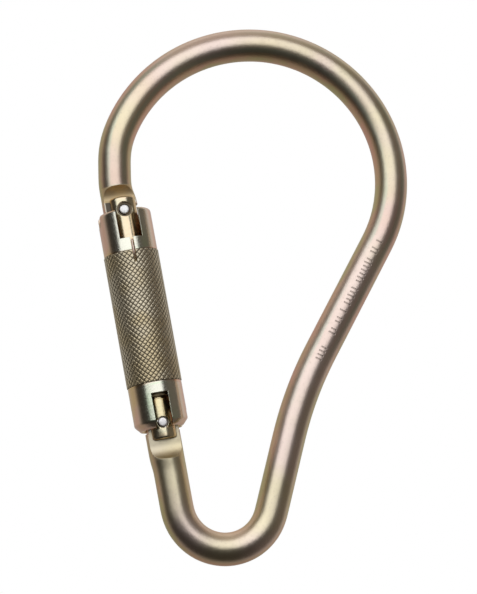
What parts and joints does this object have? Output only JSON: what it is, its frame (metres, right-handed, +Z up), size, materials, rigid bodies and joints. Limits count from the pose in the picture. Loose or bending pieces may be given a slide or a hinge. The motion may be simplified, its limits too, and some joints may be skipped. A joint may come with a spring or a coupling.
{
  "type": "locking carabiner",
  "caption": "Pear-shaped steel carabiner: a bent round bar closed by a sprung hinged gate with a knurled twist-lock sleeve.",
  "frame": {"origin": "where an anchor bears, on the inner top of the large bow, in the middle plane", "axes": "+X from the gate towards the spine, +Y from the front face to the back, +Z up, towards the large bow"},
  "size_m": [0.1256, 0.0218, 0.2178],
  "materials": {
    "passivated_steel": "yellow passivated zinc, satin",
    "sleeve_steel": "yellow passivated zinc, turned and knurled",
    "gate_steel": "yellow passivated zinc, bright",
    "pin_steel": "plain steel, cut ends",
    "spring_steel": "spring wire"
  },
  "bodies": {
    "body": {"body": "passivated_steel"},
    "gate": {"gate_bar": "gate_steel", "hinge_pin": "pin_steel", "latch_pin": "pin_steel", "stop_pin": "pin_steel", "retaining_ring": "spring_steel", "gate_spring": "spring_steel"},
    "sleeve": {"locking_sleeve": "sleeve_steel", "sleeve_spring": "spring_steel"},
    "plunger": {"gate_plunger": "pin_steel"}
  },
  "joints": [
    {"name": "gate_swing", "type": "hinge", "parent": "body", "child": "gate", "pos_m": [-0.0377, 0, -0.1496], "axis": [0, 1, 0], "range_deg": [0, 54], "stiffness_Nm_per_rad": 0.3, "springref_deg": -85.94},
    {"name": "sleeve_twist", "type": "hinge", "parent": "gate", "child": "sleeve", "pos_m": [-0.0377, 0, -0.1496], "axis": [0.184, 0, -0.9829], "range_deg": [0, 90], "stiffness_Nm_per_rad": 0.04, "springref_deg": -91.67, "deforming": ["sleeve_spring"]},
    {"name": "plunger_slide", "type": "slide", "parent": "gate", "child": "plunger", "axis": [-0.184, 0, 0.9829], "range_m": [0, 0.00125], "deforming": ["gate_spring"]}
  ],
  "couplings": [
    {"joint": "plunger_slide", "follows": "gate_swing", "m_per_rad": 0.0012732}
  ]
}
